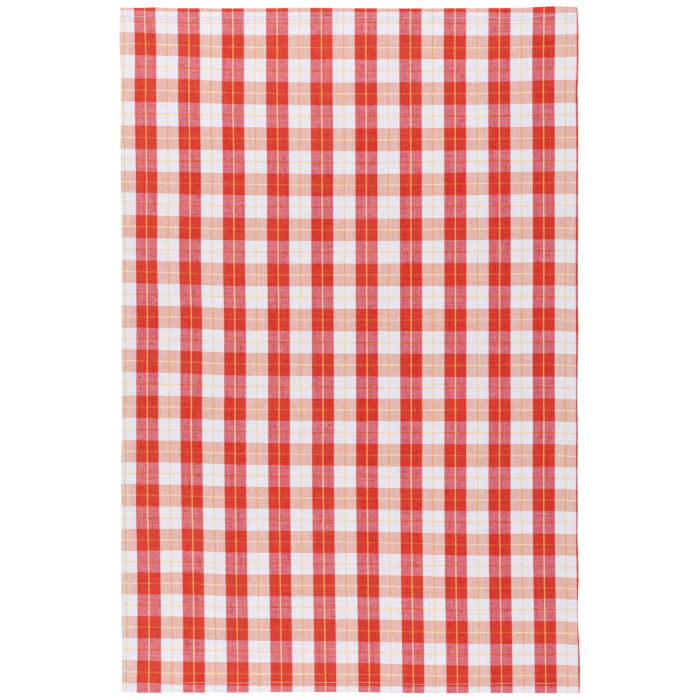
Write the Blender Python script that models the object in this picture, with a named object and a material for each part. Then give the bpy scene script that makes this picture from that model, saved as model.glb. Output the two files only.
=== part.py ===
"""Checked cotton tea towel, laid out flat and face up.

One woven panel with a double-turned hem at each short end and a plain
selvedge down each long side. The hems are part of the same cloth, so the
towel is one solid: a thin slab with a flat underside, a ridge where each hem
is three layers thick, and the uneven outline of the real thing.

Metres, +Z up. The long side runs along Y, and the origin is under the middle.
"""

import math

import bmesh
import bpy

NAME = "tea_towel"
NODE = "woven_towel"

MM = 0.001

# Finished size of the towel, between its straightened edges
WIDTH = 509.0 * MM
LENGTH = 761.0 * MM

# Thickness of the single cloth with its nap, and of the three layers of a hem
CLOTH_THICK = 1.1 * MM
HEM_THICK = 2.0 * MM
EDGE_THICK = 0.7 * MM

# Double-turned hem: its depth from the fold, the width of the step down to the
# single cloth, and the seam that holds it down
HEM_DEPTH = 12.0 * MM
HEM_STEP = 1.1 * MM
SEAM_INSET = 10.4 * MM
SEAM_DIP = 0.5 * MM

# The single cloth doesn't lie quite flat: long, very low swells on its face,
# which the hems pull straight
SWELL_HEIGHT = 0.22 * MM
SWELL_ACROSS = 171.0 * MM
SWELL_ALONG = 233.0 * MM
SWELL_START = 0.7
SWELL_FREE = 48.0 * MM

# How far each edge stands outside its straight line. "at" is measured from the
# towel's top edge for the sides, and from its left edge for the ends, in mm.
SIDE_EDGES = (
    # at, left, right
    (0.0, 0.4, -1.5),
    (14.0, 1.0, -0.2),
    (26.0, 1.1, 0.3),
    (42.0, 1.0, 0.1),
    (56.0, 0.6, 0.2),
    (75.0, -0.1, 0.1),
    (92.0, -0.4, -0.8),
    (118.0, -0.4, -0.2),
    (165.0, 0.0, -0.1),
    (200.0, -0.3, -0.3),
    (240.0, -1.2, -0.2),
    (300.0, -1.4, -0.5),
    (345.0, -1.4, -0.2),
    (366.0, -1.1, 0.1),
    (384.0, -1.2, -0.4),
    (435.0, -1.5, -1.1),
    (475.0, -1.4, -0.5),
    (515.0, -0.6, -0.9),
    (560.0, -0.9, -0.6),
    (585.0, -1.1, -0.9),
    (613.0, -0.5, 0.1),
    (632.0, -0.8, 0.4),
    (665.0, -1.0, -0.6),
    (686.0, -1.2, -0.3),
    (702.0, -1.4, 0.8),
    (736.0, -1.5, 1.9),
    (761.0, -1.3, 1.3),
)
END_EDGES = (
    # at, top, bottom
    (0.0, 0.6, -1.5),
    (10.0, 0.7, -0.1),
    (24.0, 0.4, 0.1),
    (36.0, 1.0, 0.2),
    (50.0, 0.6, 0.0),
    (66.0, 0.1, -0.1),
    (120.0, -0.1, -0.1),
    (165.0, 0.0, -0.6),
    (200.0, 0.5, -0.8),
    (240.0, 0.2, -0.7),
    (275.0, 0.0, -0.5),
    (310.0, -0.2, 0.2),
    (340.0, -0.2, 0.4),
    (375.0, 0.0, 0.5),
    (415.0, 0.2, 0.3),
    (442.0, 0.3, 0.4),
    (456.0, 0.9, 0.5),
    (470.0, 1.6, 0.5),
    (482.0, 2.1, 0.5),
    (496.0, 1.8, 0.6),
    (509.0, 1.3, 0.4),
)

# Cross-section of the cloth from an end fold inwards: distance in mm, and how
# much of the hem's thickness stands there, from 0 for the edge to 1 in full
HEM_STATIONS = (
    # inset, fullness
    (0.0, 0.0),
    (0.8, 0.65),
    (2.4, 1.0),
    (6.0, 1.0),
    (8.8, 0.95),
)

# Grid of the solid
CELLS_ACROSS = 40
CELLS_BETWEEN_HEMS = 44
SELVEDGE_ROUNDING = 1.5 * MM

TOWEL_COLOUR = (0.80, 0.36, 0.33, 1.0)
TOWEL_ROUGHNESS = 0.9


def clear_scene():
    """Remove everything that a new file starts with."""
    for item in list(bpy.data.objects):
        bpy.data.objects.remove(item, do_unlink=True)


def smooth_step(share):
    """Ease from 0 to 1 with level ends."""
    share = min(max(share, 0.0), 1.0)
    return share * share * (3.0 - 2.0 * share)


def read_table(table, at, column):
    """Read a column of a table in mm, eased between its rows, in metres."""
    at_mm = at / MM
    previous = table[0]
    for row in table:
        if at_mm <= row[0]:
            gap = row[0] - previous[0]
            share = smooth_step((at_mm - previous[0]) / gap) if gap else 0.0
            return (previous[column] + (row[column] - previous[column]) * share) * MM
        previous = row
    return table[-1][column] * MM


def hem_profile(inset):
    """Top of the cloth at a distance from an end fold, seam dip and step included."""
    if inset > HEM_DEPTH:
        step = smooth_step((inset - HEM_DEPTH) / HEM_STEP)
        return HEM_THICK + (CLOTH_THICK - HEM_THICK) * step
    previous = HEM_STATIONS[0]
    fullness = HEM_STATIONS[-1][1]
    for row in HEM_STATIONS:
        if inset <= row[0] * MM:
            gap = (row[0] - previous[0]) * MM
            share = (inset - previous[0] * MM) / gap if gap else 0.0
            fullness = previous[1] + (row[1] - previous[1]) * share
            break
        previous = row
    dip = SEAM_DIP * max(0.0, 1.0 - abs(inset - SEAM_INSET) / (HEM_DEPTH - SEAM_INSET))
    return EDGE_THICK + (HEM_THICK - EDGE_THICK) * fullness - dip


def face_height(across, along):
    """Height of the towel's face at a place measured from its top left corner."""
    end_inset = min(along, LENGTH - along)
    side_inset = min(across, WIDTH - across)
    height = hem_profile(end_inset)
    if end_inset > HEM_DEPTH:
        fade = smooth_step((end_inset - HEM_DEPTH) / SWELL_FREE)
        wave = math.sin(math.tau * across / SWELL_ACROSS + SWELL_START)
        wave *= math.cos(math.tau * along / SWELL_ALONG)
        height += SWELL_HEIGHT * fade * wave
    side = smooth_step(side_inset / SELVEDGE_ROUNDING)
    return EDGE_THICK + (height - EDGE_THICK) * side


def column_places():
    """Distances of the grid's columns from the left edge."""
    inner = WIDTH - 2.0 * SELVEDGE_ROUNDING
    cells = CELLS_ACROSS - 2
    middle = [SELVEDGE_ROUNDING + inner * i / cells for i in range(cells + 1)]
    return [0.0] + middle + [WIDTH]


def row_places():
    """Distances of the grid's rows from the top edge, close together in the hems."""
    hem = [row[0] * MM for row in HEM_STATIONS]
    hem += [SEAM_INSET, HEM_DEPTH, HEM_DEPTH + HEM_STEP]
    start = hem[-1]
    inner = LENGTH - 2.0 * start
    cells = CELLS_BETWEEN_HEMS
    middle = [start + inner * i / cells for i in range(1, cells)]
    return hem + middle + [LENGTH - place for place in reversed(hem)]


def outline_place(across, along):
    """Place of a point of the cloth, with the wander of the nearest edges."""
    left = read_table(SIDE_EDGES, along, 1)
    right = read_table(SIDE_EDGES, along, 2)
    top = read_table(END_EDGES, across, 1)
    bottom = read_table(END_EDGES, across, 2)
    x = -left + (WIDTH + left + right) * across / WIDTH
    y = top - (LENGTH + top + bottom) * along / LENGTH
    return x - WIDTH / 2.0, y + LENGTH / 2.0


def build_slab():
    """Model the panel and its hems as one closed body with a flat underside."""
    columns = column_places()
    rows = row_places()
    last_column = len(columns) - 1
    last_row = len(rows) - 1
    cloth = bmesh.new()
    bmesh.ops.create_grid(cloth, x_segments=last_column, y_segments=last_row, size=0.5)
    extruded = bmesh.ops.extrude_face_region(cloth, geom=cloth.faces[:])["geom"]
    face_side = {item for item in extruded if isinstance(item, bmesh.types.BMVert)}
    for vert in cloth.verts:
        across = columns[round((vert.co.x + 0.5) * last_column)]
        along = rows[round((0.5 - vert.co.y) * last_row)]
        x, y = outline_place(across, along)
        z = face_height(across, along) if vert in face_side else 0.0
        vert.co = (x, y, z)
    underside = [face for face in cloth.faces if all(vert.co.z == 0.0 for vert in face.verts)]
    bmesh.ops.dissolve_faces(cloth, faces=underside, use_verts=False)
    bmesh.ops.recalc_face_normals(cloth, faces=cloth.faces[:])
    centre_on_origin(cloth)
    mesh = bpy.data.meshes.new(NODE)
    cloth.to_mesh(mesh)
    cloth.free()
    return mesh


def centre_on_origin(cloth):
    """Slide the cloth until the middle of its outline is over the origin."""
    xs = [vert.co.x for vert in cloth.verts]
    ys = [vert.co.y for vert in cloth.verts]
    shift = (-(min(xs) + max(xs)) / 2.0, -(min(ys) + max(ys)) / 2.0, 0.0)
    bmesh.ops.translate(cloth, verts=cloth.verts[:], vec=shift)


def woven_cotton():
    """Average colour of the red, orange and white cloth, with its dull surface."""
    material = bpy.data.materials.new("woven_cotton")
    material.use_nodes = True
    shader = material.node_tree.nodes["Principled BSDF"]
    shader.inputs["Base Color"].default_value = TOWEL_COLOUR
    shader.inputs["Roughness"].default_value = TOWEL_ROUGHNESS
    shader.inputs["Metallic"].default_value = 0.0
    return material


def main():
    """Build the towel in a collection of its own."""
    clear_scene()
    collection = bpy.data.collections.new(NAME)
    bpy.context.scene.collection.children.link(collection)
    mesh = build_slab()
    mesh.materials.append(woven_cotton())
    mesh.shade_smooth()
    mesh.set_sharp_from_angle(angle=math.radians(40.0))
    towel = bpy.data.objects.new(NODE, mesh)
    collection.objects.link(towel)


main()
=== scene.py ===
"""Looks of a checked cotton tea towel, laid out flat and seen from straight above.

An add-on that runs as a script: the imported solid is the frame, and each operator
makes one group of pieces around it. Metres, +Z up.
"""

import math
from functools import partial

import bmesh
import bpy
import numpy as np
from bpy.props import FloatProperty, FloatVectorProperty, IntProperty, PointerProperty
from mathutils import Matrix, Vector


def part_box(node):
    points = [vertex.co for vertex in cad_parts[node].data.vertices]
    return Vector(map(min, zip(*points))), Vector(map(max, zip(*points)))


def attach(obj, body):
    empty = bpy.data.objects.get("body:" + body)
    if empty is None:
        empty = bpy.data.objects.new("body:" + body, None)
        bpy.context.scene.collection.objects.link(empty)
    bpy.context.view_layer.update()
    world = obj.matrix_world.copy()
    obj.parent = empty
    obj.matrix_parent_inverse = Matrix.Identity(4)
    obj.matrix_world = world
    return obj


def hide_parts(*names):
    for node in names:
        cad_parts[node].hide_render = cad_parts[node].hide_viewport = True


bl_info = {
    "name": "Checked Tea Towel",
    "version": (1, 0, 0),
    "blender": (4, 5, 0),
    "location": "3D View > Sidebar > Tea Towel",
    "description": "Weaves, hems and lays out a checked cotton tea towel",
    "category": "Object",
}

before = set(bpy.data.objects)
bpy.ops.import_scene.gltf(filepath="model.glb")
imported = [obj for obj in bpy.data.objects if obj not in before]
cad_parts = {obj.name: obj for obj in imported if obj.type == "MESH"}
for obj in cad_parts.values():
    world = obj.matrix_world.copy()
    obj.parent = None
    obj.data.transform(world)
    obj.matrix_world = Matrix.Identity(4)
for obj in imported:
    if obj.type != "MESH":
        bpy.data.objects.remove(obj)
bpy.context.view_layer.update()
NODE = "woven_towel"
BODY = "root"

MM = 0.001

# -------- the outline

# Finished size between straightened edges
WIDTH = 509.0 * MM
LENGTH = 761.0 * MM

# How far each edge stands outside its straight line, in mm. "at" is from the
# towel's top edge for the sides, and from its left edge for the ends.
SIDE_EDGES = (
    # at, left, right
    (0, 0.4, -1.5), (14, 1.0, -0.2), (26, 1.1, 0.3), (42, 1.0, 0.1), (56, 0.6, 0.2),
    (75, -0.1, 0.1), (92, -0.4, -0.8), (118, -0.4, -0.2), (165, 0.0, -0.1),
    (200, -0.3, -0.3), (240, -1.2, -0.2), (300, -1.4, -0.5), (345, -1.4, -0.2),
    (366, -1.1, 0.1), (384, -1.2, -0.4), (435, -1.5, -1.1), (475, -1.4, -0.5),
    (515, -0.6, -0.9), (560, -0.9, -0.6), (585, -1.1, -0.9), (613, -0.5, 0.1),
    (632, -0.8, 0.4), (665, -1.0, -0.6), (686, -1.2, -0.3), (702, -1.4, 0.8),
    (736, -1.5, 1.9), (761, -1.3, 1.3),
)
END_EDGES = (
    # at, top, bottom
    (0, 0.6, -1.5), (10, 0.7, -0.1), (24, 0.4, 0.1), (36, 1.0, 0.2), (50, 0.6, 0.0),
    (66, 0.1, -0.1), (120, -0.1, -0.1), (165, 0.0, -0.6), (200, 0.5, -0.8),
    (240, 0.2, -0.7), (275, 0.0, -0.5), (310, -0.2, 0.2), (340, -0.2, 0.4),
    (375, 0.0, 0.5), (415, 0.2, 0.3), (442, 0.3, 0.4), (456, 0.9, 0.5), (470, 1.6, 0.5),
    (482, 2.1, 0.5), (496, 1.8, 0.6), (509, 1.3, 0.4),
)

# How far each seam strays from its mean line, away from the fold, in mm. "at" is
# from the left edge.
SEAM_STRAY = (
    # at, top, bottom
    (0, -0.3, 0.6), (30, -0.7, 0.2), (62, 0.2, -1.2), (78, 0.1, 0.9), (130, 0.0, 0.3),
    (180, -0.1, 0.8), (230, 0.2, 0.3), (280, 0.0, 0.4), (330, 0.2, -0.6),
    (380, 0.4, -0.2), (430, 0.4, 0.1), (480, -0.1, 0.5), (509, -0.1, -0.6),
)

# How far the warp leans to the right of straight lines, in mm. The first row has
# distances from the left edge, and "at" is from the top edge.
WARP_LEAN = (
    ("at", 0, 17, 48, 130, 255, 400, 459, 484, 509),
    (0, -2.8, -2.6, -3.1, -2.9, -2.3, -0.7, -0.2, 0.0, -0.8),
    (20, -1.7, -2.2, -3.0, -2.8, -2.3, -0.7, -0.4, 0.0, -0.7),
    (50, -1.5, -1.4, -2.3, -2.7, -2.2, -1.0, -0.9, -0.3, -0.4),
    (95, -1.9, -1.7, -2.4, -2.8, -2.0, -0.9, -0.9, -0.7, -1.9),
    (150, -1.1, -1.0, -1.6, -2.1, -1.6, -0.7, -0.5, -0.3, -1.1),
    (200, -0.5, -0.4, -1.1, -1.7, -1.5, -0.5, -0.4, -0.5, -1.2),
    (272, -0.1, -0.3, -1.3, -1.6, -1.3, -0.4, -0.1, -0.3, -1.8),
    (353, 0.3, 0.2, 0.3, -0.6, -1.0, -0.4, -0.6, -0.4, -1.6),
    (410, 0.1, 0.0, 0.1, -0.4, -0.7, -0.6, -0.4, -0.5, -1.3),
    (460, 0.1, 0.0, 0.1, -0.5, -0.6, -0.4, -0.2, -0.1, -1.4),
    (508, 0.1, 0.0, 0.7, -0.2, -0.8, -0.6, -0.5, -0.3, -1.4),
    (552, -0.1, -0.4, 1.3, 0.2, -0.4, -0.6, -0.4, -0.3, -1.3),
    (595, 0.6, 0.6, 2.1, 0.7, 0.0, -0.2, -0.1, -0.1, -1.2),
    (645, 1.2, 1.2, 2.7, 1.2, 0.6, 0.2, 0.5, 0.5, -0.5),
    (695, 1.6, 1.3, 3.2, 2.0, 1.3, 1.1, 1.2, 1.1, 0.4),
    (750, 1.5, 0.7, 3.2, 2.7, 1.9, 1.7, 1.9, 1.8, 1.4),
)

# How far the weft bows down from straight lines, in mm, in the same way
WEFT_BOW = (
    ("at", 0, 60, 130, 255, 400, 478, 509),
    (0, -2.7, -0.7, -0.4, -0.4, -0.1, 0.8, 1.2),
    (24, -3.8, -1.6, -0.7, -1.5, -0.4, -0.4, -1.9),
    (42, -4.2, -2.4, 0.3, 0.5, 1.0, -0.9, -2.1),
    (75, -3.6, -2.8, 0.0, 1.4, 0.7, -1.3, -1.8),
    (110, -2.9, -2.0, -0.1, 1.2, 0.3, -1.1, -1.6),
    (148, -1.4, -0.4, 0.1, 1.4, 0.4, -0.8, -1.3),
    (190, -2.6, -0.9, 0.3, 1.4, -0.4, -1.6, -1.8),
    (215, -4.1, -2.5, -0.6, 0.8, -0.5, -1.8, -1.7),
    (260, -3.6, -2.2, -0.4, 0.4, -1.0, -1.7, -0.8),
    (305, -3.7, -2.2, 0.0, 0.2, -0.3, -0.8, 0.2),
    (350, -3.6, -3.3, -0.5, 0.3, 0.1, -0.4, 1.3),
    (388, -5.0, -3.5, -1.0, 0.1, 0.4, -0.1, 0.8),
    (414, -3.9, -3.0, -0.4, 0.6, 1.4, 0.8, 1.5),
    (430, -3.2, -2.8, -0.4, 0.4, 0.5, 0.2, 1.4),
    (470, -3.0, -2.6, -0.3, 0.6, 1.0, 1.0, 2.4),
    (510, -3.3, -2.9, -0.7, 0.9, 2.1, 1.7, 2.8),
    (545, -4.0, -3.2, -1.0, -0.4, 1.7, 1.5, 2.5),
    (580, -3.3, -3.3, -1.4, -0.5, 2.2, 2.1, 2.8),
    (612, -3.2, -3.6, -1.3, -0.8, 1.9, 1.7, 2.3),
    (640, -3.8, -4.0, -1.8, -1.5, 1.2, 1.1, 2.5),
    (672, -4.3, -3.8, -1.9, -0.9, 1.1, 0.9, 2.1),
    (703, -4.2, -3.5, -1.4, -0.2, 2.3, 2.3, 3.9),
    (730, -3.8, -2.2, -1.5, -0.6, 2.1, 1.1, 2.2),
    (761, -2.3, -0.4, 0.8, 1.0, 0.7, 0.5, 0.8),
)

# -------- the cloth

# Yarns: their spacing, how many make a band of the check, and how many of those
# make the thin yellow line in its middle
END_PITCH = 0.6128 * MM
ENDS_A_BAND = 40
PICK_PITCH = 0.692 * MM
PICKS_A_BAND = 36
LINE_ENDS = 2
LINE_PICKS = 2

# Kinds of yarn: white is 0, red or orange is 1, and yellow is 2
COLOURED = 1.0
YELLOW = 2.0

# Where the check starts: its first red band and first white weft band. The weft
# bands get shorter one by one.
FIRST_RED_BAND = 17.5 * MM
FIRST_WEFT_BAND = 4.7 * MM
TOP_WEFT_BAND = 25.616 * MM
WEFT_BAND_LOSS = 0.02241 * MM

# Section of a double-turned hem. Layer 0 is on the surface, 1 is the hidden turn
# and 2 is the face.
LAYER_RISE = 0.37 * MM
TOP_LAYER = 2.0
FOLD_RADIUS = 1.2 * LAYER_RISE
FOLD_ROUNDING = 3.0 * MM
INNER_FOLD_GAP = 0.3 * MM
HEM_STEP = 3.0 * MM

# Mesh of the cloth: two columns to a stitch, rows between the hems, and rows of
# a hem from its raw edge out, as a number, as insets in mm or, on the step down
# to the single cloth, as shares of the way
COLUMNS = 300
FIELD_ROWS = 78
RAW_EDGE_ROWS = 4
INNER_FOLD_ROWS = 6
HIDDEN_ROWS = (10.4, 9.0, 7.0, 4.6, 2.2)
OUTER_FOLD_ROWS = 8
FACE_ROWS = (1.6, 2.6, 3.8, 5.2, 6.6, 7.9, 8.8, 9.4, 9.9, 10.4, 10.9, 11.4, 12.0)
STEP_ROWS = (0.2, 0.4, 0.6, 0.8, 1.0)

# Where rows start to follow the stray of the seam, and how soon they do fully
FOLLOW_START = 7.0 * MM
FOLLOW_EASE = 3.0 * MM

# The seam presses the hem down, most at each needle hole, and lifts the layer on
# the surface by a share of that
SEAM_LIFT = 0.10 * MM
SEAM_SPREAD = 1.3 * MM
NEEDLE_DIP = 0.09 * MM
SURFACE_DIP_SHARE = 0.3

# A hem puffs up a little between its seam and its fold
HEM_PUFF = 0.16 * MM
PUFF_CHANGE = 0.45
PUFF_SPACING = 17.0 * MM
PUFF_SEED = 11

# Puckers run out from the seam, into the hem and into the single cloth
PUCKER = 0.09 * MM
PUCKER_SPACING = 4.6 * MM
PUCKER_REACH = 9.0 * MM
PUCKER_SEED = 21
RIPPLE_LIFT = 0.6
RIPPLE_MOST = 2.0
LONG_RIPPLE = 2.3
RIPPLE_SEEDS = (51, 52)

# Swells of the single cloth, from a start in from the hems: an even lift, a long
# and a short slanted wave, and the most that they come to
SWELL = 0.42 * MM
SWELL_SPACING = 66.0 * MM
SWELL_START = 18.0 * MM
SWELL_FULL = 90.0 * MM
SWELL_MIX = (0.35, 0.9, 0.5)
SWELL_MOST = 1.6
SWELL_SLANTS = (0.25, 0.3)
LONG_SWELL = 1.4
SHORT_SWELL = 0.6
SWELL_SEEDS = (31, 32, 33, 34)

# Its long sides lift in small waves
SELVEDGE_WAVE = 0.22 * MM
SELVEDGE_WAVE_SPACING = 23.0 * MM
SELVEDGE_WAVE_DEPTH = 9.0 * MM
SELVEDGE_SEEDS = (41, 42)

# Loops of yarn: steps along and sides round each one, and the seed of its slant
STITCH_LOOP = (7, 7, 6)
WEFT_LOOP = (6, 5, 8)

# Stitches on each side of a hem: their layer, which way is out, and the shares
# of the thread's radius that show, rise in the middle and sink at the holes
STITCHES = {
    "face": (TOP_LAYER, 1.0, 1.0, 1.6, 0.7),
    "back": (0.0, -1.0, 0.55, -0.3, 0.3),
}

# Long sides: how far across, and which way round their turns of weft go
SELVEDGES = {"left": (0.0, 1), "right": (WIDTH, -1)}
TURN_WIDTH = 1.15 * PICK_PITCH

# -------- the colours

# Colour where each warp crosses each weft, in linear light: the average, and
# where the weft floats on top
CROSSINGS = {
    ("white", "white"): ((0.807, 0.783, 0.832), (0.809, 0.788, 0.838)),
    ("white", "orange"): ((0.776, 0.491, 0.447), (0.749, 0.215, 0.100)),
    ("white", "yellow"): ((0.871, 0.672, 0.503), (0.908, 0.543, 0.216)),
    ("red", "white"): ((0.700, 0.1605, 0.1935), (0.734, 0.338, 0.405)),
    ("red", "orange"): ((0.698, 0.0525, 0.0360), (0.719, 0.092, 0.060)),
    ("red", "yellow"): ((0.723, 0.109, 0.048), (0.782, 0.226, 0.070)),
    ("yellow", "white"): ((0.885, 0.650, 0.445), (0.872, 0.720, 0.600)),
    ("yellow", "orange"): ((0.860, 0.362, 0.120), (0.829, 0.280, 0.100)),
    ("yellow", "yellow"): ((0.950, 0.590, 0.180), (0.940, 0.550, 0.160)),
}
WARPS = ("white", "red", "yellow")
WEFTS = ("white", "orange", "yellow")
WEFT_YARNS = {
    "white": (0.81, 0.79, 0.84),
    "orange": (0.74, 0.16, 0.075),
    "yellow": (0.92, 0.50, 0.12),
}
DARKEST = 0.002

# Share of the face that the warp covers, the lift that gives it that share, and
# the further lift at the left selvedge, where its ends are closer
WARP_COVER = 0.62
WARP_BIAS = 0.84
SELVEDGE_COVER = 0.68

# Paler red, partly faded dye and partly painted light: what it adds, its average,
# its share on an orange weft, and how much more there is on thin yarns
FADE_AND_PAINTED_LIGHT = (0.050, 0.042, 0.024)
FADE_AND_LIGHT_LEVEL = 0.36
FADE_AND_LIGHT_ON_ORANGE = 0.58
FADE_GRAIN = 0.35

# Where it is paler: everywhere, to both ends, the top and the right as painted light, in clouds
# as faded dye
FADE_AND_LIGHT_EVEN = 0.23
PAINTED_LIGHT_ENDS = 0.38
PAINTED_LIGHT_UP = 0.09
PAINTED_LIGHT_RIGHT = -0.25
FADE_CLOUDS = 1.1

# How much the yarns vary: in cover, with a soft limit for a thick warp; in tone
# where they are thick; and in tint
UNEVENNESS = 3.4
THICKEST = 0.85
THICKEST_EASE = 0.6
WHITE_TONE = 0.10
RED_TONE = 0.22
WARP_TINT = (0.082, 0.068, 0.095)
WEFT_TINT = (0.068, 0.064, 0.092)
WARP_TINT_SEED = 5.0
WEFT_TINT_SEED = 900.0

# Noises of the cloth: size across and along it in mm, and a seed. Slubs are
# short and streaks long, and the streaks of the weft are weaker.
NOISES = {
    "warp_slub": (1.2, 5.0, 3.1),
    "weft_slub": (2.4, 1.4, 6.3),
    "warp_streak": (1.4, 36.0, 7.7),
    "weft_streak": (40.0, 1.4, 9.2),
    "warp_hairs": (0.07, 0.8, 12.0),
    "weft_hairs": (0.8, 0.07, 13.0),
    "fade_clouds": (46.0, 120.0, 1.9),
}
WEFT_STREAKS = 0.7

# How fast a yarn rounds off; how much painted shade darkens its sides, and how
# sharply; how much painted shade darkens its dips, and how strongly its fibres
# streak it; the level that keeps the cloth's average; and the slant of the twisted fibres
YARN_ROUNDING = 1.8
GAP_SHADE = 0.30
GAP_SHARPNESS = 4.0
DIP_SHADE = 0.13
FIBRE_SHADE = 0.25
SHADE_LEVEL = 1.155
FIBRE_SLANT = 0.35

# Relief of the cotton as a share of its thickness, the fibres' share of it, and
# how rough the cotton is, and a slub more than that
COTTON_RELIEF = 0.35
FIBRE_RELIEF = 0.4
COTTON_ROUGHNESS = 0.88
SLUB_ROUGHNESS = 0.15

# Sewing thread: slant and pitch of its plies, the darkest that it gets, its
# tone by fuzz and its painted shade by ply, and its relief as a share of its thickness
PLY_SLANT = 2.2
PLY_PITCH = 0.085 * MM
THREAD_DARK = 0.72
THREAD_FUZZ = 0.12
THREAD_LEVEL = 0.88
PLY_SHADE = 0.06
THREAD_RELIEF = 0.3

# Weft yarn where it turns: shade of its fuzz, and its level
YARN_FUZZ = 0.3
YARN_LEVEL = 0.82

# How brightly the studio lights a level white surface, and the gloss of fibres
STUDIO_LEVEL = 1.18
FIBRE_GLOSS = 0.012

# -------- the studio

# Middle of the picture, from the towel's straightened top left corner
PICTURE_ACROSS = 255.2 * MM
PICTURE_ALONG = 380.0 * MM

# A soft lamp off each end of the towel: its place from the middle, in metres, and
# its share of their light
LAMPS = {
    "upper_lamp": ((-0.20, 1.00, 0.75), 0.52),
    "lower_lamp": ((-0.20, -1.00, 0.75), 0.48),
}

# White paper just under the towel, between two tones
FLOOR_DROP = 0.05 * MM
PAPER_TONES = (0.93, 0.95)


# -------- small helpers


def eased(share):
    """Ease from 0 to 1 with level ends."""
    share = np.clip(share, 0.0, 1.0)
    return share * share * (3.0 - 2.0 * share)


def smooth_read(knots, values, at):
    """Read values given at knots along their last axis, smoothly and without overshoot."""
    knots = np.asarray(knots, float)
    values = np.asarray(values, float)
    at = np.clip(np.asarray(at, float), knots[0], knots[-1])
    steps = np.diff(values, axis=-1) / np.diff(knots)
    before, after = steps[..., :-1], steps[..., 1:]
    together = before * after
    total = np.where(together > 0.0, before + after, 1.0)
    turning = np.where(together > 0.0, 2.0 * together / total, 0.0)
    slopes = np.concatenate([steps[..., :1], turning, steps[..., -1:]], axis=-1)
    left = np.clip(np.searchsorted(knots, at, side="right") - 1, 0, len(knots) - 2)
    gap = knots[left + 1] - knots[left]
    share = (at - knots[left]) / gap
    pick = () if values.ndim == 1 else (np.arange(len(left)),)
    start, end = values[*pick, left], values[*pick, left + 1]
    rise, fall = slopes[*pick, left], slopes[*pick, left + 1]
    square, cube = share**2, share**3
    result = (2 * cube - 3 * square + 1) * start + (3 * square - 2 * cube) * end
    return result + (cube - 2 * square + share) * gap * rise + (cube - square) * gap * fall


def read_table(table, column, at):
    """Read one column of a table in mm at places in metres."""
    knots = [row[0] * MM for row in table]
    values = [row[column] * MM for row in table]
    return smooth_read(knots, values, at)


def read_drift(table, across, along):
    """Read a drift table at points, first down its rows and then across its columns."""
    _, *across_knots = table[0]
    columns = range(1, len(across_knots) + 1)
    values = np.stack([read_table(table[1:], column, along) for column in columns], axis=-1)
    return smooth_read([knot * MM for knot in across_knots], values, across)


def wander(at, spacing, seed):
    """A smooth random curve between -1 and 1 that turns about every spacing."""
    at = np.asarray(at, float)
    count = int(math.ceil(at.max() / spacing)) + 3
    values = np.random.default_rng(seed).uniform(-1.0, 1.0, count)
    return smooth_read(np.arange(count) * spacing, values, at)


def linked(name, data):
    """A new object in the scene."""
    item = bpy.data.objects.new(name, data)
    bpy.context.scene.collection.objects.link(item)
    return item


def finished_piece(name, mesh):
    """Link a finished mesh as a piece of the towel, riding on its one body."""
    piece = linked(name, mesh)
    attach(piece, BODY)
    return piece


def plain_mesh(maker, name):
    """Turn an object with modifiers into a plain mesh."""
    bpy.context.view_layer.update()
    evaluated = maker.evaluated_get(bpy.context.evaluated_depsgraph_get())
    mesh = bpy.data.meshes.new_from_object(evaluated)
    mesh.name = name
    maker.modifiers.clear()
    bpy.data.objects.remove(maker, do_unlink=True)
    return mesh


# -------- places on the cloth


def towel_corner():
    """Where the straightened left and top edges cross, in the frame."""
    low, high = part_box(NODE)
    left = low.x + max(row[1] for row in SIDE_EDGES) * MM
    top = high.y - max(row[1] for row in END_EDGES) * MM
    return left, top


def plan_place(across, along):
    """Place of a point across and along the towel, moved with its edges."""
    left, right = [read_table(SIDE_EDGES, column, along) for column in (1, 2)]
    top, bottom = [read_table(END_EDGES, column, across) for column in (1, 2)]
    side = -left + (WIDTH + left + right) * across / WIDTH
    down = -top + (LENGTH + top + bottom) * along / LENGTH
    return side, down


def points_of(side, down, height):
    """Points in the frame, from places measured from the towel's corner."""
    left, head = towel_corner()
    return np.stack([left + side, head - down, height], axis=-1)


def woven_place(side, down):
    """How far along its weft and its warp a point of the cloth was woven."""
    ends = side - read_drift(WARP_LEAN, side, down) - FIRST_RED_BAND
    drop = down - read_drift(WEFT_BOW, side, down) - FIRST_WEFT_BAND
    root = np.sqrt(TOP_WEFT_BAND**2 - 4.0 * WEFT_BAND_LOSS * drop)
    bands = (TOP_WEFT_BAND - root) / (2.0 * WEFT_BAND_LOSS)
    return ends, bands * PICKS_A_BAND * PICK_PITCH


def seam_inset(props, across, end):
    """Distance of a seam from its fold; end is 0 at the top and 1 at the bottom."""
    return props.seam_inset + read_table(SEAM_STRAY, 1 + end, across)


# -------- the cloth


def hem_path(props):
    """Insets and layers of a hem's rows, from the raw edge out."""
    raw_edge = props.hem_depth - props.hidden_turn
    inner = props.hem_depth - props.thickness / 2.0 - INNER_FOLD_GAP
    outer = props.thickness / 2.0
    path = [(inset, 1.0) for inset in np.linspace(raw_edge, inner, RAW_EDGE_ROWS)]
    for angle in np.linspace(0.0, math.pi, INNER_FOLD_ROWS)[1:-1]:
        path.append((inner + INNER_FOLD_GAP * math.sin(angle), 0.5 + 0.5 * math.cos(angle)))
    path.append((inner, 0.0))
    path += [(inset * MM, 0.0) for inset in HIDDEN_ROWS]
    for angle in np.linspace(0.0, math.pi, OUTER_FOLD_ROWS):
        path.append((outer + FOLD_RADIUS * (1.0 - math.sin(angle)), 1.0 - math.cos(angle)))
    path += [(inset * MM, TOP_LAYER) for inset in FACE_ROWS]
    for share in STEP_ROWS:
        path.append((props.hem_depth + HEM_STEP * share, TOP_LAYER * (1.0 - eased(share))))
    return path


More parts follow.
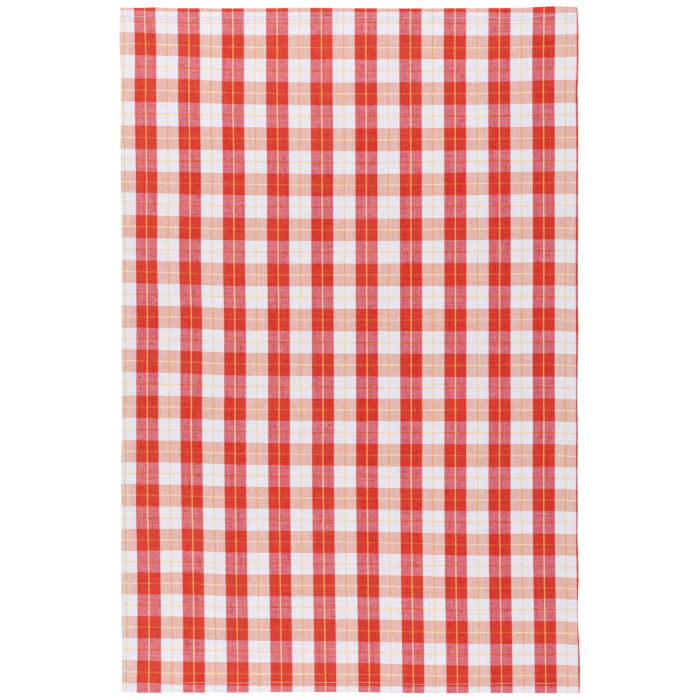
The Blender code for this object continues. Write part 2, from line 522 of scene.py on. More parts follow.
def layer_height(props, layer, inset, across, end):
    """Height of the middle of a layer of a hem."""
    off_seam = inset - seam_inset(props, across, end)
    held = np.exp(-((off_seam / SEAM_SPREAD) ** 2))
    needle = 0.5 + 0.5 * np.cos(math.tau * across / props.stitch_pitch)
    low = props.thickness / 2.0 + held * (SEAM_LIFT + NEEDLE_DIP * SURFACE_DIP_SHARE * needle)
    puff = HEM_PUFF * (1.0 + PUFF_CHANGE * wander(across, PUFF_SPACING, PUFF_SEED + end))
    puff = puff * (1.0 - held) * eased(inset / FOLD_ROUNDING)
    top = props.thickness / 2.0 + SEAM_LIFT + TOP_LAYER * LAYER_RISE + puff
    top = top - held * NEEDLE_DIP * needle
    near = np.exp(-((off_seam / PUCKER_REACH) ** 2))
    top = top + PUCKER * near * (1.0 - held) * wander(across, PUCKER_SPACING, PUCKER_SEED + end)
    return low + (top - low) * layer / TOP_LAYER


def field_height(props, across, along):
    """Height of the middle of the single cloth, with its low swells."""
    inset = np.minimum(along, LENGTH - along)
    free = eased((inset - SWELL_START) / (SWELL_FULL - SWELL_START))
    slant, cross_slant = SWELL_SLANTS
    one = wander(across + slant * along, SWELL_SPACING, SWELL_SEEDS[0])
    one = one * wander(along, SWELL_SPACING * LONG_SWELL, SWELL_SEEDS[1])
    two = wander(across, SWELL_SPACING * SHORT_SWELL, SWELL_SEEDS[2])
    two = two * wander(along + cross_slant * across, SWELL_SPACING, SWELL_SEEDS[3])
    even, first, second = SWELL_MIX
    swell = SWELL * np.clip(even + first * one + second * two, 0.0, SWELL_MOST) * free
    side = np.minimum(across, WIDTH - across)
    waves = [wander(along, SELVEDGE_WAVE_SPACING, seed) for seed in SELVEDGE_SEEDS]
    wave = np.clip(np.where(across < WIDTH / 2.0, *waves), 0.0, 1.0)
    near_side = np.exp(-side / SELVEDGE_WAVE_DEPTH)
    near_hem = np.exp(-np.maximum(inset - props.hem_depth, 0.0) / PUCKER_REACH)
    ripples = wander(across, PUCKER_SPACING, RIPPLE_SEEDS[0])
    ripples = ripples + wander(across, PUCKER_SPACING * LONG_RIPPLE, RIPPLE_SEEDS[1])
    pucker = PUCKER * near_hem * np.clip(RIPPLE_LIFT + ripples, 0.0, RIPPLE_MOST)
    height = props.thickness / 2.0 + swell * (1.0 - near_side)
    return height + SELVEDGE_WAVE * wave * near_side + pucker


def hem_rows(props, across, end):
    """Insets and heights of a hem's rows, their way in from the fold, and the fold's row."""
    insets, heights = [], []
    for nominal, layer in hem_path(props):
        follow = eased((nominal - FOLLOW_START) / FOLLOW_EASE)
        inset = nominal + follow * (seam_inset(props, across, end) - props.seam_inset)
        height = layer_height(props, layer, inset, across, end)
        if layer < TOP_LAYER and nominal > props.hem_depth:
            settled = 1.0 - layer / TOP_LAYER
            ground = field_height(props, across, inset if end == 0 else LENGTH - inset)
            height = height * (1.0 - settled) + ground * settled
        insets.append(inset)
        heights.append(height)
    insets, heights = np.stack(insets), np.stack(heights)
    fold = int(np.argmin(insets[:, 0]))
    hidden = np.zeros_like(insets)
    for row in reversed(range(fold)):
        step = np.hypot(insets[row] - insets[row + 1], heights[row] - heights[row + 1])
        hidden[row] = hidden[row + 1] + step
    return insets, heights, hidden, fold


def cloth_grid(props):
    """Positions and woven places of every point, as rows by columns."""
    across = np.linspace(0.0, WIDTH, COLUMNS + 1)
    top = hem_rows(props, across, 0)
    bottom = hem_rows(props, across, 1)
    start = top[0][-1]
    finish = LENGTH - bottom[0][-1]
    shares = np.linspace(0.0, 1.0, FIELD_ROWS + 1)[1:-1, None]
    field = start + (finish - start) * shares
    along = np.concatenate([top[0], field, LENGTH - bottom[0][::-1]])
    wide = np.broadcast_to(across, along.shape)
    field_heights = [field_height(props, across, row) for row in field]
    height = np.concatenate([top[1], field_heights, bottom[1][::-1]])
    side, down = plan_place(wide.ravel(), along.ravel())
    places = (side, down, *woven_place(side, down))
    side, down, ends, picks = [place.reshape(along.shape) for place in places]
    fold = top[3]
    picks[:fold] = picks[fold] - top[2][:fold]
    ends[:fold] = ends[fold]
    last = len(along) - 1 - bottom[3]
    picks[last + 1:] = picks[last] + bottom[2][:bottom[3]][::-1]
    ends[last + 1:] = ends[last]
    return points_of(side, down, height), np.stack([ends, picks], axis=-1)


def grid_mesh(name, columns, rows, half):
    """A flat grid of faces that reaches half its width to each side."""
    grid = bmesh.new()
    bmesh.ops.create_grid(grid, x_segments=columns, y_segments=rows, size=half)
    mesh = bpy.data.meshes.new(name)
    grid.to_mesh(mesh)
    grid.free()
    return mesh


def cloth_mesh(props):
    """One sheet, its ends turned twice and its woven places kept as a UV map."""
    points, woven = cloth_grid(props)
    rows, columns = points.shape[:2]
    mesh = grid_mesh("towel_cloth", columns - 1, rows - 1, 0.5)
    unit = np.empty(len(mesh.vertices) * 3, np.float32)
    mesh.vertices.foreach_get("co", unit)
    unit = unit.reshape(-1, 3)
    column = np.rint((unit[:, 0] + 0.5) * (columns - 1)).astype(int)
    row = np.rint((0.5 - unit[:, 1]) * (rows - 1)).astype(int)
    mesh.vertices.foreach_set("co", points[row, column].astype(np.float32).ravel())
    corners = np.empty(len(mesh.loops), np.int32)
    mesh.loops.foreach_get("vertex_index", corners)
    layer = mesh.uv_layers.new(name="woven")
    layer.uv.foreach_set("vector", woven[row, column][corners].astype(np.float32).ravel())
    mesh.update()
    return mesh


# -------- nodes


def feed(tree, socket, value):
    """Link an output into a socket, or set a plain value on it."""
    if isinstance(value, bpy.types.NodeSocket):
        tree.links.new(value, socket)
    else:
        socket.default_value = value


def add_node(tree, kind, inputs=None, **settings):
    """Add a node, set its own properties, and feed its sockets by name or number."""
    node = tree.nodes.new(kind)
    for name, value in settings.items():
        setattr(node, name, value)
    for key, value in (inputs or {}).items():
        feed(tree, node.inputs[key], value)
    return node


def calc(tree, operation, *values, kind="ShaderNodeMath"):
    """What a Math node, or a node like it, makes of some values."""
    node = add_node(tree, kind, dict(enumerate(values)), operation=operation)
    return node.outputs[0]


def vector_of(tree, x, y, z):
    """A vector from three numbers or sockets."""
    return add_node(tree, "ShaderNodeCombineXYZ", {0: x, 1: y, 2: z}).outputs[0]


def parts_of(tree, vector):
    """The first two numbers of a vector."""
    return add_node(tree, "ShaderNodeSeparateXYZ", {0: vector}).outputs[:2]


def choose(tree, switch, when_one, when_zero):
    """One of two numbers, by a switch that is 1 or 0."""
    gap = calc(tree, "SUBTRACT", when_one, when_zero)
    return calc(tree, "MULTIPLY_ADD", switch, gap, when_zero)


def blend(tree, share, first, second, blend_type="MIX"):
    """A colour Mix node with its inputs fed."""
    inputs = {"Factor": share, 6: first, 7: second}
    node = add_node(tree, "ShaderNodeMix", inputs, data_type="RGBA", blend_type=blend_type)
    return node.outputs[2]


def object_place(tree):
    """The place of a point of the piece, in metres."""
    return add_node(tree, "ShaderNodeTexCoord").outputs["Object"]


def even_noise(tree, place, scale):
    """Noise of one grain in all directions."""
    return add_node(tree, "ShaderNodeTexNoise", {"Vector": place, "Scale": scale}).outputs["Fac"]


def brightened(tree, colour, value):
    """A colour made brighter or darker."""
    return add_node(tree, "ShaderNodeHueSaturation", {"Color": colour, "Value": value}).outputs[0]


def new_material(name):
    """A new material and its node tree."""
    material = bpy.data.materials.new(name)
    material.use_nodes = True
    return material, material.node_tree


def feed_shader(tree, values):
    """Feed the sockets of a material's shader by name."""
    shader = tree.nodes["Principled BSDF"]
    for name, value in values.items():
        feed(tree, shader.inputs[name], value)


def bumped(tree, height, strength, depth):
    """A normal for relief of a depth in metres."""
    inputs = {"Height": height, "Strength": strength, "Distance": depth}
    return add_node(tree, "ShaderNodeBump", inputs).outputs[0]


# -------- the material


def cloth_noise(tree, across, along, name):
    """One of the noises of the cloth, around 0."""
    size, length, seed = NOISES[name]
    place = vector_of(tree, calc(tree, "DIVIDE", across, size * MM),
                      calc(tree, "DIVIDE", along, length * MM), seed)
    noise = add_node(tree, "ShaderNodeTexNoise", {
        "Vector": place, "Scale": 1.0, "Detail": 2.0, "Roughness": 0.55,
    }, noise_dimensions="3D")
    return calc(tree, "SUBTRACT", noise.outputs["Fac"], 0.5)


def yarn_tint(tree, index, seed, amount, rest):
    """Add each yarn's own slight tint, steady along it, to the rest of the tints."""
    inputs = {"W": calc(tree, "ADD", index, seed)}
    noise = add_node(tree, "ShaderNodeTexWhiteNoise", inputs, noise_dimensions="1D")
    kind = "ShaderNodeVectorMath"
    centred = calc(tree, "SUBTRACT", noise.outputs["Color"], (0.5, 0.5, 0.5), kind=kind)
    return calc(tree, "MULTIPLY_ADD", centred, amount, rest, kind=kind)


def yarn_kind(tree, index, band, line, coloured_first):
    """Kind of a yarn by its number: bands of white and coloured yarns take turns."""
    do = partial(calc, tree)
    in_repeat = do("FLOORED_MODULO", index, 2.0 * band)
    test = "LESS_THAN" if coloured_first else "GREATER_THAN"
    coloured = do(test, in_repeat, band - 0.5)
    in_band = do("FLOORED_MODULO", index, band)
    off_middle = do("ABSOLUTE", do("SUBTRACT", in_band, (band - 1) / 2.0))
    thin = do("LESS_THAN", off_middle, line / 2.0)
    rest = do("SUBTRACT", YELLOW, coloured)
    return do("MULTIPLY_ADD", thin, rest, coloured)


def crossing_colours():
    """Colour of the warp on top and of the weft on top, for each crossing.

    The two average to the crossing's colour at the share that the warp covers.
    """
    ground, fleck = [], []
    for warp in WARPS:
        for weft in WEFTS:
            level = FADE_AND_LIGHT_LEVEL * (FADE_AND_LIGHT_ON_ORANGE if weft == "orange" else 1.0)
            fade_and_light = [level * value if warp == "red" else 0.0 for value in FADE_AND_PAINTED_LIGHT]
            average, over = [
                [value / STUDIO_LEVEL - FIBRE_GLOSS - less for value, less in zip(seen, fade_and_light)]
                for seen in CROSSINGS[warp, weft]
            ]
            under = [(a - (1.0 - WARP_COVER) * b) / WARP_COVER for a, b in zip(average, over)]
            fleck.append((*over, 1.0))
            ground.append((*[max(value, DARKEST) for value in under], 1.0))
    return ground, fleck


def palette(tree, index, colours):
    """A stepped ramp that turns a whole number into one of the colours."""
    count = len(colours)
    place = calc(tree, "DIVIDE", calc(tree, "ADD", index, 0.5), count)
    node = add_node(tree, "ShaderNodeValToRGB", {0: place})
    ramp = node.color_ramp
    ramp.interpolation = "CONSTANT"
    ramp.elements[1].position = 1.0 / count
    for step in range(2, count):
        ramp.elements.new(step / count)
    for element, colour in zip(ramp.elements, colours):
        element.color = colour
    return node.outputs[0]


def weave(tree, ends, picks, spread):
    """Plain weave: each yarn's number, whether the warp is on top, height, and painted shade of
    the yarns' sides and dips.
    """
    do = partial(calc, tree)
    end_index, pick_index = [do("FLOOR", yarns) for yarns in (ends, picks)]
    end_off, pick_off = [
        do("SUBTRACT", do("SUBTRACT", yarns, index), 0.5)
        for yarns, index in ((ends, end_index), (picks, pick_index))
    ]
    parity = do("FLOORED_MODULO", do("ADD", end_index, pick_index), 2.0)
    sign = do("SUBTRACT", 1.0, do("MULTIPLY", parity, 2.0))
    warp_wave, weft_wave = [
        do("MULTIPLY", sign, do("COSINE", do("MULTIPLY", off, math.pi)))
        for off in (pick_off, end_off)
    ]
    weft_wave = do("MULTIPLY", weft_wave, -1.0)
    warp_top, weft_top = [
        do("SUBTRACT", wave, do("MULTIPLY", do("MULTIPLY", off, off), YARN_ROUNDING))
        for wave, off in ((warp_wave, end_off), (weft_wave, pick_off))
    ]
    warp_high = do("ADD", warp_top, do("ADD", spread, WARP_BIAS))
    on_top = do("GREATER_THAN", warp_high, weft_top)
    height = do("MAXIMUM", warp_high, weft_top)
    wave = choose(tree, on_top, warp_wave, weft_wave)
    # Painted shade: darker at the sides of the yarn on top and where it dips under the other
    off = do("MULTIPLY", choose(tree, on_top, end_off, pick_off), 2.0)
    edge = do("POWER", do("ABSOLUTE", off), GAP_SHARPNESS)
    dip = do("MULTIPLY", do("SUBTRACT", 1.0, wave), DIP_SHADE)
    level = do("SUBTRACT", SHADE_LEVEL, dip)
    return end_index, pick_index, on_top, height, do("MULTIPLY_ADD", edge, -GAP_SHADE, level)


def fade_and_painted_light(tree, across, along):
    """How much paler the red is: painted light, most at the top left, and faded dye in slow
    clouds.
    """
    do = partial(calc, tree)
    x, y = parts_of(tree, object_place(tree))
    right = do("DIVIDE", x, WIDTH / 2.0)
    up = do("DIVIDE", y, LENGTH / 2.0)
    # Painted light: paler red towards both ends, the top and the left
    fade_and_light = do("MULTIPLY_ADD", do("MULTIPLY", up, up), PAINTED_LIGHT_ENDS, FADE_AND_LIGHT_EVEN)
    fade_and_light = do("MULTIPLY_ADD", up, PAINTED_LIGHT_UP, fade_and_light)
    fade_and_light = do("MULTIPLY_ADD", right, PAINTED_LIGHT_RIGHT, fade_and_light)
    clouds = cloth_noise(tree, across, along, "fade_clouds")
    return do("MULTIPLY_ADD", clouds, FADE_CLOUDS, fade_and_light)


def cotton_material(props):
    """Woven cotton: the check, its thin lines, uneven yarns and the weave's relief."""
    material, tree = new_material("checked_cotton")
    do = partial(calc, tree)
    place = add_node(tree, "ShaderNodeUVMap", uv_map="woven")
    across, along = parts_of(tree, place.outputs[0])
    ends = do("DIVIDE", across, END_PITCH)
    picks = do("DIVIDE", along, PICK_PITCH)
    warp_slub, weft_slub, warp_streak, weft_streak = [
        cloth_noise(tree, across, along, name)
        for name in ("warp_slub", "weft_slub", "warp_streak", "weft_streak")
    ]
    thick = do("ADD", warp_slub, warp_streak)
    weft_thick = do("ADD", weft_slub, do("MULTIPLY", weft_streak, WEFT_STREAKS))
    uneven = do("MULTIPLY", do("SUBTRACT", thick, weft_thick), UNEVENNESS)
    spread = do("SMOOTH_MIN", uneven, THICKEST, THICKEST_EASE)
    crowded = do("MAXIMUM", do("DIVIDE", across, -FIRST_RED_BAND), 0.0)
    spread = do("MULTIPLY_ADD", crowded, SELVEDGE_COVER, spread)
    end_index, pick_index, on_top, height, shade = weave(tree, ends, picks, spread)
    # The colour of the crossing, paled by faded dye and by painted light, and tinted
    warp_kind = yarn_kind(tree, end_index, ENDS_A_BAND, LINE_ENDS, True)
    weft_kind = yarn_kind(tree, pick_index, PICKS_A_BAND, LINE_PICKS, False)
    index = do("MULTIPLY_ADD", warp_kind, len(WEFTS), weft_kind)
    ground, fleck = crossing_colours()
    colour = blend(tree, on_top, palette(tree, index, fleck), palette(tree, index, ground))
    red, orange = [do("COMPARE", kind, COLOURED, 0.1) for kind in (warp_kind, weft_kind)]
    # Paler red: faded dye in clouds and on thin yarns, and painted light towards the ends and the
    # top left
    fade_and_light = do("MULTIPLY_ADD", uneven, -FADE_GRAIN, fade_and_painted_light(tree, across, along))
    fade_and_light = do("MULTIPLY", fade_and_light, red)
    held_back = do("MULTIPLY_ADD", orange, FADE_AND_LIGHT_ON_ORANGE - 1.0, 1.0)
    fade_and_light = do("MULTIPLY", fade_and_light, held_back)
    colour = blend(tree, fade_and_light, colour, (*FADE_AND_PAINTED_LIGHT, 1.0), "ADD")
    tints = yarn_tint(tree, end_index, WARP_TINT_SEED, WARP_TINT, (1.0, 1.0, 1.0))
    tints = yarn_tint(tree, pick_index, WEFT_TINT_SEED, WEFT_TINT, tints)
    colour = blend(tree, 1.0, colour, tints, "MULTIPLY")
    # Its tone where the yarns are thick, the painted shade of their sides and dips, and the
    # streaks of their fibres
    warp_tone = do("MULTIPLY_ADD", red, RED_TONE, WHITE_TONE)
    tone = do("MULTIPLY_ADD", weft_thick, WHITE_TONE, do("MULTIPLY", thick, warp_tone))
    twist = do("MULTIPLY", choose(tree, on_top, along, across), FIBRE_SLANT)
    warp_hairs = cloth_noise(tree, do("ADD", across, twist), along, "warp_hairs")
    weft_hairs = cloth_noise(tree, across, do("ADD", along, twist), "weft_hairs")
    hairs = choose(tree, on_top, warp_hairs, weft_hairs)
    shade = do("MULTIPLY_ADD", hairs, FIBRE_SHADE, shade)
    light = do("MULTIPLY", do("ADD", tone, 1.0), shade)
    relief = do("MULTIPLY_ADD", hairs, FIBRE_RELIEF, height)
    feed_shader(tree, {
        "Base Color": brightened(tree, colour, light),
        "Roughness": do("MULTIPLY_ADD", warp_slub, SLUB_ROUGHNESS, COTTON_ROUGHNESS),
        "Specular IOR Level": 0.18,
        "Sheen Weight": 0.06,
        "Sheen Roughness": 0.5,
        "Normal": bumped(tree, relief, strength=0.7, depth=props.thickness * COTTON_RELIEF),
    })
    return material


def thread_material(props):
    """White sewing thread: two plies twisted together, slightly glossy."""
    material, tree = new_material("sewing_thread")
    do = partial(calc, tree)
    place = object_place(tree)
    x, y = parts_of(tree, place)
    turn = do("MULTIPLY_ADD", y, PLY_SLANT, x)
    twist = do("SINE", do("DIVIDE", turn, PLY_PITCH))
    fuzz = even_noise(tree, place, scale=900.0)
    shade = do("MULTIPLY_ADD", fuzz, THREAD_FUZZ, THREAD_LEVEL)
    # Painted shade in the grooves of the twisted plies
    shade = do("MULTIPLY_ADD", twist, PLY_SHADE, shade)
    dark = [value * THREAD_DARK for value in props.thread_colour]
    depth = props.thread_diameter * THREAD_RELIEF
    feed_shader(tree, {
        "Base Color": blend(tree, shade, (*dark, 1.0), (*props.thread_colour, 1.0)),
        "Roughness": 0.6,
        "Specular IOR Level": 0.3,
        "Normal": bumped(tree, twist, strength=0.6, depth=depth),
    })
    return material


def weft_turn_material():
    """White, orange or yellow yarn of the weft, where it turns at a selvedge."""
    material, tree = new_material("weft_yarn")
    place = add_node(tree, "ShaderNodeAttribute", attribute_name="woven_at")
    picks = calc(tree, "DIVIDE", place.outputs["Fac"], PICK_PITCH)
    kind = yarn_kind(tree, calc(tree, "FLOOR", picks), PICKS_A_BAND, LINE_PICKS, False)
    colours = [(*[value / STUDIO_LEVEL for value in WEFT_YARNS[weft]], 1.0) for weft in WEFTS]
    fuzz = even_noise(tree, object_place(tree), scale=1400.0)
    light = calc(tree, "MULTIPLY_ADD", fuzz, YARN_FUZZ, YARN_LEVEL)
    feed_shader(tree, {
        "Base Color": brightened(tree, palette(tree, kind, colours), light),
        "Roughness": COTTON_ROUGHNESS,
        "Specular IOR Level": 0.18,
        "Normal": bumped(tree, fuzz, strength=0.5, depth=0.05 * MM),
    })
    return material


# -------- loops of yarn

LOOP_SIZES = ("Loop Length", "Yarn Radius", "Rise", "Sink", "Slant")


def bowed_tube(tree, inputs, upright, steps, sides):
    """A tube whose middle rises and whose ends sink, upwards or sideways."""
    half = calc(tree, "MULTIPLY", inputs["Loop Length"], 0.5)
    back = calc(tree, "MULTIPLY", half, -1.0)
    sunk = calc(tree, "MULTIPLY", inputs["Sink"], -1.0)
    first, middle, last = [
        vector_of(tree, x, 0.0, out) if upright else vector_of(tree, x, out, 0.0)
        for x, out in ((back, sunk), (0.0, inputs["Rise"]), (half, sunk))
    ]
    line = add_node(tree, "GeometryNodeCurveQuadraticBezier", {
        "Resolution": steps, "Start": first, "Middle": middle, "End": last})
    ring = add_node(tree, "GeometryNodeCurvePrimitiveCircle", {
        "Resolution": sides, "Radius": inputs["Yarn Radius"]}, mode="RADIUS")
    tube = add_node(tree, "GeometryNodeCurveToMesh", {
        "Curve": line.outputs[0], "Profile Curve": ring.outputs[0], "Fill Caps": True})
    return tube.outputs[0]


def repeat_on_path(tree, inputs, shape, seed):
    """Put a shape on evenly spaced points of the path, along it."""
    curve = add_node(tree, "GeometryNodeMeshToCurve", {0: inputs["Path"]})
    spaced = add_node(tree, "GeometryNodeResampleCurve", {
        "Curve": curve.outputs[0], "Count": inputs["Loops"]})
    tangent = add_node(tree, "GeometryNodeInputTangent").outputs[0]
    turned = add_node(tree, "FunctionNodeAlignRotationToVector", {"Vector": tangent}, axis="X")
    least = calc(tree, "MULTIPLY", inputs["Slant"], -1.0)
    jitter = add_node(tree, "FunctionNodeRandomValue", {
        2: least, 3: inputs["Slant"], "Seed": seed}, data_type="FLOAT")
    spin = add_node(tree, "FunctionNodeAxisAngleToRotation", {
        "Axis": (0.0, 0.0, 1.0), "Angle": jitter.outputs[1]})
    both = add_node(tree, "FunctionNodeRotateRotation", {
        0: turned.outputs[0], 1: spin.outputs[0]}, rotation_space="LOCAL")
    placed = add_node(tree, "GeometryNodeInstanceOnPoints", {
        "Points": spaced.outputs[0], "Instance": shape, "Rotation": both.outputs[0]})
    return placed.outputs[0]


def loop_tree(name, upright, loop, material):
    """Geometry tree that lays loops of yarn along a path, in their material."""
    tree = bpy.data.node_groups.new(name, "GeometryNodeTree")
    kinds = {"Path": "Geometry", "Loops": "Int", **dict.fromkeys(LOOP_SIZES, "Float")}
    identifiers = {
        label: tree.interface.new_socket(
            label, in_out="INPUT", socket_type="NodeSocket" + kind).identifier
        for label, kind in kinds.items()
    }
    tree.interface.new_socket("Geometry", in_out="OUTPUT", socket_type="NodeSocketGeometry")
    steps, sides, seed = loop
    inputs = add_node(tree, "NodeGroupInput").outputs
    shape = bowed_tube(tree, inputs, upright, steps, sides)
    real = add_node(tree, "GeometryNodeRealizeInstances", {
        0: repeat_on_path(tree, inputs, shape, seed)})
    smooth = add_node(tree, "GeometryNodeSetShadeSmooth", {"Geometry": real.outputs[0]})
    dressed = add_node(tree, "GeometryNodeSetMaterial", {
        "Geometry": smooth.outputs[0], "Material": material})
    add_node(tree, "NodeGroupOutput", {0: dressed.outputs[0]})
    return tree, identifiers


def run_tree(name, points, woven_at, tree, identifiers, values):
    """Link what a geometry tree makes on a line through points as a piece.

    woven_at gives the woven place of each point, where the material reads it.
    """
    path = bmesh.new()
    verts = [path.verts.new(point) for point in points]
    for start, end in zip(verts, verts[1:]):
        path.edges.new((start, end))
    mesh = bpy.data.meshes.new(name)
    path.to_mesh(mesh)
    path.free()
    if woven_at is not None:
        attribute = mesh.attributes.new("woven_at", "FLOAT", "POINT")
        attribute.data.foreach_set("value", np.asarray(woven_at, np.float32))
    maker = linked(name + "_path", mesh)
    modifier = maker.modifiers.new("repeat", "NODES")
    modifier.node_group = tree
    for label, value in values.items():
        modifier[identifiers[label]] = value
    finished_piece(name, plain_mesh(maker, name))


# -------- properties


class TowelClothSettings(bpy.types.PropertyGroup):
    """Sizes of the cloth and its hems."""

    thickness: FloatProperty(
        name="Thickness", description="Thickness of the single cloth",
        default=0.36 * MM, unit="LENGTH", precision=5)
    hem_depth: FloatProperty(
        name="Hem Depth", description="Depth of a finished hem",
        default=12.0 * MM, unit="LENGTH")
    hidden_turn: FloatProperty(
        name="Hidden Turn", description="Depth of the raw edge turned inside a hem",
        default=8.0 * MM, unit="LENGTH")
    seam_inset: FloatProperty(
        name="Seam Inset", description="Distance of the seam from the fold",
        default=10.4 * MM, unit="LENGTH")
    stitch_pitch: FloatProperty(
        name="Stitch Pitch", description="Distance from one needle hole to the next",
        default=2.0 * WIDTH / COLUMNS, unit="LENGTH", precision=5)


class TowelSewingSettings(bpy.types.PropertyGroup):
    """Thread of the hem seams."""

    thread_diameter: FloatProperty(
        name="Thread Diameter", description="Thickness of the sewing thread",
        default=0.36 * MM, unit="LENGTH", precision=5)
    stitch_share: FloatProperty(
        name="Stitch Share", description="Share of the pitch that a stitch shows",
        default=0.95, min=0.1, max=1.0, subtype="FACTOR")
    slant: FloatProperty(
        name="Slant", description="Most that a stitch turns off the seam's line",
        default=math.radians(5.0), subtype="ANGLE")
    thread_colour: FloatVectorProperty(
        name="Thread Colour", description="Colour of the sewing thread",
        default=(0.67, 0.65, 0.67), subtype="COLOR", size=3)


class TowelSelvedgeSettings(bpy.types.PropertyGroup):
    """Weft turns along the long sides."""

    yarn_diameter: FloatProperty(
        name="Yarn Diameter", description="Thickness of the weft yarn",
        default=0.34 * MM, unit="LENGTH", precision=5)
    reach: FloatProperty(
        name="Reach", description="How far a turn stands out of the edge",
        default=0.16 * MM, unit="LENGTH", precision=5)
    slant: FloatProperty(
        name="Slant", description="Most that a turn leans off the edge's line",
        default=math.radians(7.0), subtype="ANGLE")
    turns: IntProperty(
        name="Turns", description="Number of weft turns on each long side",
        default=int(LENGTH / (2.0 * PICK_PITCH)))


class TowelStudioSettings(bpy.types.PropertyGroup):
    """Floor, lights and camera."""

    view_width: FloatProperty(
        name="View Width", description="Width of the surface that the picture shows",
        default=778.4 * MM, unit="LENGTH")
    lens: FloatProperty(
        name="Lens", description="Focal length of the camera in millimetres",
        default=100.0)
    sky_strength: FloatProperty(
        name="Sky Strength", description="Strength of the even light from all round",
        default=0.92)
    lamp_power: FloatProperty(
        name="Lamp Power", description="Power of the two soft lamps together, in watts",
        default=8.5)


SETTINGS = (
    ("towel_cloth", TowelClothSettings),
    ("towel_sewing", TowelSewingSettings),
    ("towel_selvedge", TowelSelvedgeSettings),
    ("towel_studio", TowelStudioSettings),
)


# -------- operators


class TOWEL_OT_weave_cloth(bpy.types.Operator):
    """Weave the checked cloth and turn its hems"""

    bl_idname = "towel.weave_cloth"
    bl_label = "Weave Cloth"

    def execute(self, context):
        props = context.scene.towel_cloth
        maker = linked("cloth_middle", cloth_mesh(props))
        skin = maker.modifiers.new("skin", "SOLIDIFY")
        skin.thickness = props.thickness
        skin.offset = 0.0
        mesh = plain_mesh(maker, "towel_cloth")
        mesh.shade_smooth()
        mesh.set_sharp_from_angle(angle=math.radians(65.0))
        mesh.materials.append(cotton_material(props))
        cloth = finished_piece("towel_cloth", mesh)
        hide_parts(NODE)
        return {"FINISHED"}


class TOWEL_OT_sew_hems(bpy.types.Operator):
    """Sew both hems through their three layers"""

    bl_idname = "towel.sew_hems"
    bl_label = "Sew Hems"

    def execute(self, context):
        props = context.scene.towel_cloth
        sewing = context.scene.towel_sewing
        tree, identifiers = loop_tree("seam_stitches", True, STITCH_LOOP, thread_material(sewing))
        pitch = props.stitch_pitch
        across = np.arange(pitch / 2.0, WIDTH, pitch)
        radius = sewing.thread_diameter / 2.0
        for end, end_name in enumerate(("top", "bottom")):
            inset = seam_inset(props, across, end)
            side, down = plan_place(across, inset if end == 0 else LENGTH - inset)
            for name, (layer, way, share, rise, sink) in STITCHES.items():
                height = layer_height(props, layer, inset, across, end)
                points = points_of(side, down, height + way * props.thickness / 2.0)
                run_tree(f"{end_name}_seam_{name}", points, None, tree, identifiers, {
                    "Loops": len(across),
                    "Loop Length": pitch * sewing.stitch_share,
                    "Yarn Radius": radius * share,
                    "Rise": radius * rise,
                    "Sink": radius * sink,
                    "Slant": sewing.slant,
                })
        return {"FINISHED"}


class TOWEL_OT_turn_selvedges(bpy.types.Operator):
    """Turn the weft round the outermost warp ends of the long sides"""

    bl_idname = "towel.turn_selvedges"
    bl_label = "Turn Selvedges"

    def execute(self, context):
        props = context.scene.towel_cloth
        edge = context.scene.towel_selvedge
        tree, identifiers = loop_tree("weft_turns", False, WEFT_LOOP, weft_turn_material())
        start = props.hem_depth + HEM_STEP
        along = np.linspace(start, LENGTH - start, FIELD_ROWS * 3)
        for name, (at, way) in SELVEDGES.items():
            across = np.full_like(along, at)
            side, down = plan_place(across, along)
            woven_at = woven_place(side, down)[1]
            points = points_of(side, down, field_height(props, across, along))
            line = (points[::-way], woven_at[::-way])
            run_tree(f"{name}_selvedge_turns", *line, tree, identifiers, {
                "Loops": edge.turns,
                "Loop Length": TURN_WIDTH,
                "Yarn Radius": edge.yarn_diameter / 2.0,
                "Rise": edge.reach,
                "Sink": edge.reach,
                "Slant": edge.slant,
            })
        return {"FINISHED"}


class TOWEL_OT_set_stage(bpy.types.Operator):
    """Lay a pale floor, light it softly and look straight down"""

    bl_idname = "towel.set_stage"
    bl_label = "Set Stage"

    def execute(self, context):
        studio = context.scene.towel_studio
        add_floor()
        add_lights(studio)
        add_camera(studio)
        context.scene.view_settings.view_transform = "Standard"
        return {"FINISHED"}


def add_floor():
    """A plain white floor just under the towel."""
    mesh = grid_mesh("floor", columns=1, rows=1, half=6.0)
    material, tree = new_material("white_paper")
    clouds = even_noise(tree, object_place(tree), scale=3.0)
    tint = blend(tree, clouds, *[(tone, tone, tone, 1.0) for tone in PAPER_TONES])
    feed_shader(tree, {
        "Base Color": tint, "Roughness": 0.95, "Specular IOR Level": 0.1})
    mesh.materials.append(material)
    floor = linked("floor", mesh)
    floor.location.z = -FLOOR_DROP


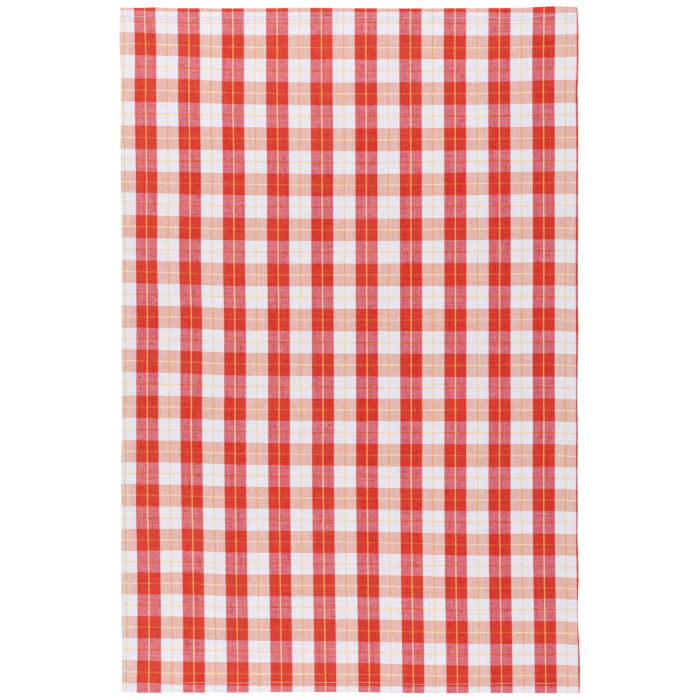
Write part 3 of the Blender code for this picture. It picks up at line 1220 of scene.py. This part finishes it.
def add_lights(studio):
    """An even sky and the soft lamps."""
    world = bpy.data.worlds.new("studio_sky")
    world.use_nodes = True
    sky = world.node_tree.nodes["Background"]
    sky.inputs["Color"].default_value = (1.0, 1.0, 1.0, 1.0)
    sky.inputs["Strength"].default_value = studio.sky_strength
    bpy.context.scene.world = world
    for name, (place, share) in LAMPS.items():
        lamp_data = bpy.data.lights.new(name, "AREA")
        lamp_data.shape = "RECTANGLE"
        lamp_data.size = 0.8
        lamp_data.size_y = 0.3
        lamp_data.energy = studio.lamp_power * share
        lamp = linked(name, lamp_data)
        lamp.location = place
        lamp.rotation_mode = "QUATERNION"
        lamp.rotation_quaternion = (-lamp.location).to_track_quat("-Z", "Y")


def add_camera(studio):
    """A camera straight above, with the towel placed as in the photo."""
    data = bpy.data.cameras.new("overhead")
    data.sensor_width = 36.0
    data.lens = studio.lens
    camera = linked("overhead", data)
    left, head = towel_corner()
    distance = studio.view_width * data.lens / data.sensor_width
    camera.location = (left + PICTURE_ACROSS, head - PICTURE_ALONG, distance)
    bpy.context.scene.camera = camera


class TOWEL_PT_panel(bpy.types.Panel):
    """Tea towel settings and steps"""

    bl_idname = "TOWEL_PT_panel"
    bl_label = "Tea Towel"
    bl_space_type = "VIEW_3D"
    bl_region_type = "UI"
    bl_category = "Tea Towel"

    def draw(self, context):
        for name, group in SETTINGS:
            box = self.layout.box()
            settings = getattr(context.scene, name)
            for key in group.__annotations__:
                box.prop(settings, key)
        for step in OPERATORS:
            self.layout.operator(step.bl_idname)


OPERATORS = (
    TOWEL_OT_weave_cloth,
    TOWEL_OT_sew_hems,
    TOWEL_OT_turn_selvedges,
    TOWEL_OT_set_stage,
)


def register():
    """Register the classes and hang the settings on the scene."""
    for name, group in SETTINGS:
        bpy.utils.register_class(group)
        setattr(bpy.types.Scene, name, PointerProperty(type=group))
    for item in (*OPERATORS, TOWEL_PT_panel):
        bpy.utils.register_class(item)


def unregister():
    """Take the settings and classes away again."""
    for item in (TOWEL_PT_panel, *reversed(OPERATORS)):
        bpy.utils.unregister_class(item)
    for name, group in reversed(SETTINGS):
        delattr(bpy.types.Scene, name)
        bpy.utils.unregister_class(group)


def main():
    """Make the towel and its stage."""
    register()
    bpy.ops.towel.weave_cloth()
    bpy.ops.towel.sew_hems()
    bpy.ops.towel.turn_selvedges()
    bpy.ops.towel.set_stage()


if __name__ == "__main__":
    main()
